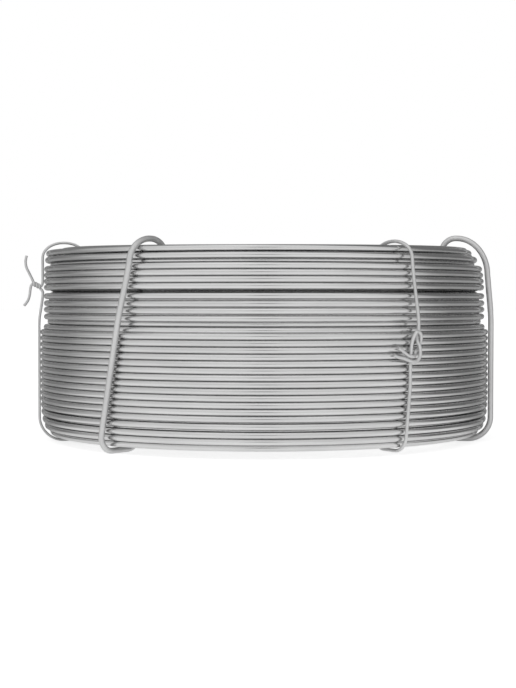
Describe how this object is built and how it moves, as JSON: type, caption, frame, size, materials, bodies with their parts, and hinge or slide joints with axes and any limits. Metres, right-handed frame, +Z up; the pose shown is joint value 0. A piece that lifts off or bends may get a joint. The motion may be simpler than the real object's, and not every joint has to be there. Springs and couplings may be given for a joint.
{
  "type": "coil of stainless steel wire",
  "caption": "Ring-shaped coil of bright round stainless steel wire, wound in nested layers round an open bore and held by thick and thin wire ties.",
  "frame": {"origin": "on the coil's axis, at the level of the floor that it stands on", "axes": "+Z up along the coil's axis, -Y towards the front that the picture shows, +X to the right"},
  "size_m": [0.1926, 0.1872, 0.0842],
  "materials": {
    "drawn_wire": "bright drawn",
    "tie_wire": "annealed, satin"
  },
  "bodies": {
    "root": {"wire_coil": "drawn_wire", "left_tie": "tie_wire", "right_tie": "tie_wire", "back_tie": "tie_wire", "twisted_tie": "tie_wire", "knotted_tie": "tie_wire"}
  },
  "joints": []
}
